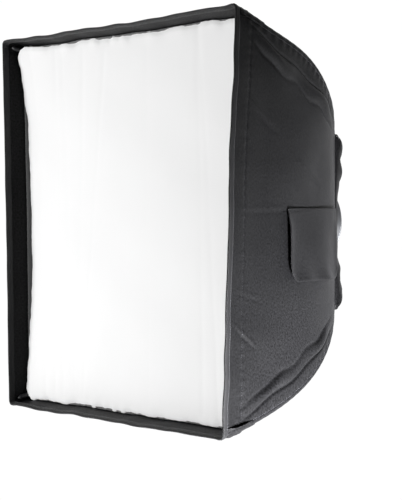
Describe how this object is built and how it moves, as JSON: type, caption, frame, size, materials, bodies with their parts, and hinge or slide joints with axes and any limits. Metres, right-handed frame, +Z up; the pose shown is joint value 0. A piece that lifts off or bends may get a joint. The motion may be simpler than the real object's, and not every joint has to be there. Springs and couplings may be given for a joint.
{
  "type": "studio softbox",
  "caption": "Square studio softbox: black fabric box on four bowed rods with a rotating speed ring, recessed white front diffuser, inner baffle and side vent flaps.",
  "frame": {"origin": "centre of the bayonet insert's rear face, which seats in the lamp head", "axes": "+Y along the lamp axis, towards the lamp head behind; the light leaves towards -Y; +Z up; +X to the right seen from the lamp's front, looking along +Y"},
  "size_m": [0.7, 0.49, 0.7],
  "materials": {
    "cast_aluminium": "die cast, lightly bead blasted",
    "zinc_steel": "zinc plated",
    "moulded_nylon": "moulded, fine grain",
    "glass_fibre_rod": "pultruded, smooth",
    "outer_fabric": "coated woven polyester, dull with a soft sheen",
    "silver_lining": "metallised, dimpled",
    "edge_binding": "folded ribbed tape",
    "webbing": "woven tape",
    "hook_and_loop": "brushed loops",
    "diffuser_cloth": "white translucent nylon",
    "vent_mesh": "open warp knit"
  },
  "bodies": {
    "mount": {"mount_insert": "cast_aluminium"},
    "softbox": {"speed_ring": "cast_aluminium", "retaining_ring": "cast_aluminium", "retaining_screw_1": "zinc_steel", "retaining_screw_2": "zinc_steel", "retaining_screw_3": "zinc_steel", "retaining_screw_4": "zinc_steel", "rod_ferrule_top_right": "zinc_steel", "rod_ferrule_bottom_right": "zinc_steel", "rod_ferrule_bottom_left": "zinc_steel", "rod_ferrule_top_left": "zinc_steel", "rod_tip_top_right": "moulded_nylon", "rod_tip_bottom_right": "moulded_nylon", "rod_tip_bottom_left": "moulded_nylon", "rod_tip_top_left": "moulded_nylon", "rod_top_right": "glass_fibre_rod", "rod_bottom_right": "glass_fibre_rod", "rod_bottom_left": "glass_fibre_rod", "rod_top_left": "glass_fibre_rod", "shell_top": "outer_fabric", "shell_right": "outer_fabric", "shell_bottom": "outer_fabric", "shell_left": "outer_fabric", "lining_top": "silver_lining", "lining_right": "silver_lining", "lining_bottom": "silver_lining", "lining_left": "silver_lining", "hem_binding_top": "edge_binding", "hem_binding_right": "edge_binding", "hem_binding_bottom": "edge_binding", "hem_binding_left": "edge_binding", "corner_pocket_top_right": "webbing", "corner_pocket_bottom_right": "webbing", "corner_pocket_bottom_left": "webbing", "corner_pocket_top_left": "webbing", "baffle_strap_top_right": "webbing", "baffle_strap_bottom_right": "webbing", "baffle_strap_bottom_left": "webbing", "baffle_strap_top_left": "webbing", "loop_tape_top": "hook_and_loop", "loop_tape_right": "hook_and_loop", "loop_tape_bottom": "hook_and_loop", "loop_tape_left": "hook_and_loop", "inner_baffle": "diffuser_cloth", "vent_mesh_right": "vent_mesh", "vent_mesh_left": "vent_mesh"},
    "lock_knob": {"lock_screw": "zinc_steel", "lock_knob": "moulded_nylon"},
    "front_diffuser": {"front_diffuser": "diffuser_cloth", "hook_tape_top": "hook_and_loop", "hook_tape_right": "hook_and_loop", "hook_tape_bottom": "hook_and_loop", "hook_tape_left": "hook_and_loop"},
    "vent_flap_right": {"vent_flap_right": "outer_fabric"},
    "vent_flap_left": {"vent_flap_left": "outer_fabric"},
    "collar_flap_top": {"collar_flap_top": "outer_fabric"},
    "collar_flap_right": {"collar_flap_right": "outer_fabric"},
    "collar_flap_bottom": {"collar_flap_bottom": "outer_fabric"},
    "collar_flap_left": {"collar_flap_left": "outer_fabric"}
  },
  "joints": [
    {"name": "softbox_turn", "type": "hinge", "parent": "mount", "child": "softbox", "pos_m": [0, 0, 0], "axis": [0, 1, 0], "continuous": true},
    {"name": "lock_knob_turn", "type": "hinge", "parent": "softbox", "child": "lock_knob", "pos_m": [0, -0.0143, 0], "axis": [0, 0, -1], "range_deg": [0, 540]},
    {"name": "front_diffuser_slide", "type": "slide", "parent": "softbox", "child": "front_diffuser", "axis": [0, -1, 0], "range_m": [0, 0.1]},
    {"name": "vent_flap_right_hinge", "type": "hinge", "parent": "softbox", "child": "vent_flap_right", "pos_m": [0.25168, -0.20778, 0.025], "axis": [0.508, -0.8614, 0], "range_deg": [0, 120]},
    {"name": "vent_flap_left_hinge", "type": "hinge", "parent": "softbox", "child": "vent_flap_left", "pos_m": [-0.25168, -0.20778, 0.025], "axis": [0.508, 0.8614, 0], "range_deg": [0, 120]},
    {"name": "collar_flap_top_hinge", "type": "hinge", "parent": "softbox", "child": "collar_flap_top", "pos_m": [0, -0.09918, 0.16], "axis": [1, 0, 0], "range_deg": [0, 110]},
    {"name": "collar_flap_right_hinge", "type": "hinge", "parent": "softbox", "child": "collar_flap_right", "pos_m": [0.16, -0.09918, 0], "axis": [0, 0, -1], "range_deg": [0, 110]},
    {"name": "collar_flap_bottom_hinge", "type": "hinge", "parent": "softbox", "child": "collar_flap_bottom", "pos_m": [0, -0.09918, -0.16], "axis": [-1, 0, 0], "range_deg": [0, 110]},
    {"name": "collar_flap_left_hinge", "type": "hinge", "parent": "softbox", "child": "collar_flap_left", "pos_m": [-0.16, -0.09918, 0], "axis": [0, 0, 1], "range_deg": [0, 110]}
  ]
}
